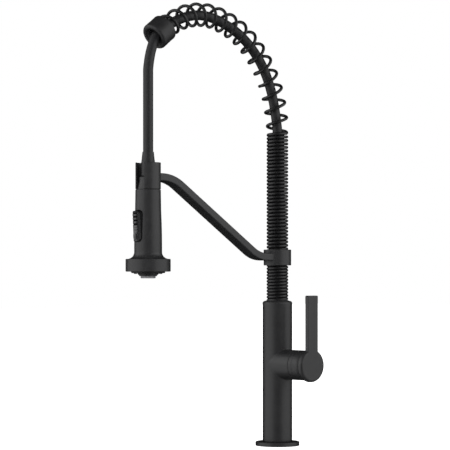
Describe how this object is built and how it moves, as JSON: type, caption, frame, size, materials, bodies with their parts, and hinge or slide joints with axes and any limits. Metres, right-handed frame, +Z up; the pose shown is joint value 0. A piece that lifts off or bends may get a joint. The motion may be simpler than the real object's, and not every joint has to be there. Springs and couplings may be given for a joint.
{
  "type": "pull-down kitchen faucet",
  "caption": "Spring-neck pull-down kitchen faucet: round column with side lever, coil-wrapped arch, hose, and a spray head docked in a sleeve on a sloping arm.",
  "frame": {"origin": "on the deck plane, on the column's axis", "axes": "+Z up out of the deck, -Y along the spout towards the spray head, +X towards the side lever"},
  "size_m": [0.0887, 0.257, 0.5715],
  "materials": {
    "black": "matte black coating",
    "coil": "matte black coated spring wire",
    "head_black": "matte black",
    "hose": "smooth matte black hose jacket",
    "rubber": "plain",
    "brass": "machined",
    "nylon": "moulded",
    "ceramic": "lapped ceramic",
    "steel": "plain",
    "grey_tip": "light grey soft plastic"
  },
  "bodies": {
    "base": {"deck_flange": "black", "deck_gasket": "rubber", "mounting_shank": "brass", "column_body": "black", "swivel_bush": "nylon", "hose_lower": "hose", "cartridge_shell": "nylon", "port_seals": "rubber", "fixed_disc": "ceramic", "cartridge_nut": "brass", "dome_ring": "black"},
    "valve_carrier": {"lever_carrier": "nylon", "pivot_pin": "steel"},
    "valve_disc": {"moving_disc": "ceramic"},
    "lever": {"lever_stem": "brass", "lever_handle": "black", "handle_screw": "steel"},
    "spout": {"riser_tube": "brass", "friction_rings": "rubber", "retaining_clip": "steel", "spring_seat": "black", "coil_spring": "coil", "hose_upper": "hose", "end_guide": "black", "guide_liner": "nylon", "clamp_collar": "black", "collar_liner": "nylon", "collar_screw": "steel", "docking_arm": "black", "docking_sleeve": "black", "hose_drop": "hose"},
    "hose_end": {"hose_nut": "black", "swivel_tail": "brass", "swivel_ring": "rubber"},
    "spray_head": {"head_neck": "head_black", "head_shell": "head_black", "head_core": "nylon", "check_valve": "nylon", "rocker_pin": "steel", "splash_flange": "black", "spray_face": "head_black", "spray_nubs": "grey_tip", "stream_ring": "head_black", "stream_nozzle": "grey_tip"},
    "diverter": {"diverter_spool": "brass"},
    "button": {"rocker_button": "head_black"}
  },
  "joints": [
    {"name": "spout_swivel", "type": "hinge", "parent": "base", "child": "spout", "pos_m": [0, 0, 0.172], "axis": [0, 0, 1], "continuous": true},
    {"name": "head_pull", "type": "slide", "parent": "spout", "child": "hose_end", "axis": [0, 0, -1], "range_m": [0, 0.16], "deforming": ["hose_drop"]},
    {"name": "head_swivel", "type": "hinge", "parent": "hose_end", "child": "spray_head", "pos_m": [0, -0.2044, 0.31], "axis": [0, 0, 1], "continuous": true},
    {"name": "rocker_tilt", "type": "hinge", "parent": "spray_head", "child": "button", "pos_m": [0, -0.2154, 0.264], "axis": [1, 0, 0], "range_deg": [-6.8, 0]},
    {"name": "diverter_slide", "type": "slide", "parent": "spray_head", "child": "diverter", "axis": [0, 0, 1], "range_m": [-0.00083, 0]},
    {"name": "lever_turn", "type": "hinge", "parent": "base", "child": "valve_carrier", "pos_m": [0.026, 0, 0.0987], "axis": [1, 0, 0], "range_deg": [-45, 45]},
    {"name": "lever_lift", "type": "hinge", "parent": "valve_carrier", "child": "lever", "pos_m": [0.026, 0, 0.0987], "axis": [0, 1, 0], "range_deg": [0, 22]},
    {"name": "disc_slide", "type": "slide", "parent": "valve_carrier", "child": "valve_disc", "axis": [0, 0, 1], "range_m": [-0.0001, 0.0024]}
  ],
  "couplings": [
    {"joint": "rocker_tilt", "follows": "diverter_slide", "rad_per_m": 142.86},
    {"joint": "disc_slide", "follows": "lever_lift", "m_per_rad": 0.00527}
  ]
}
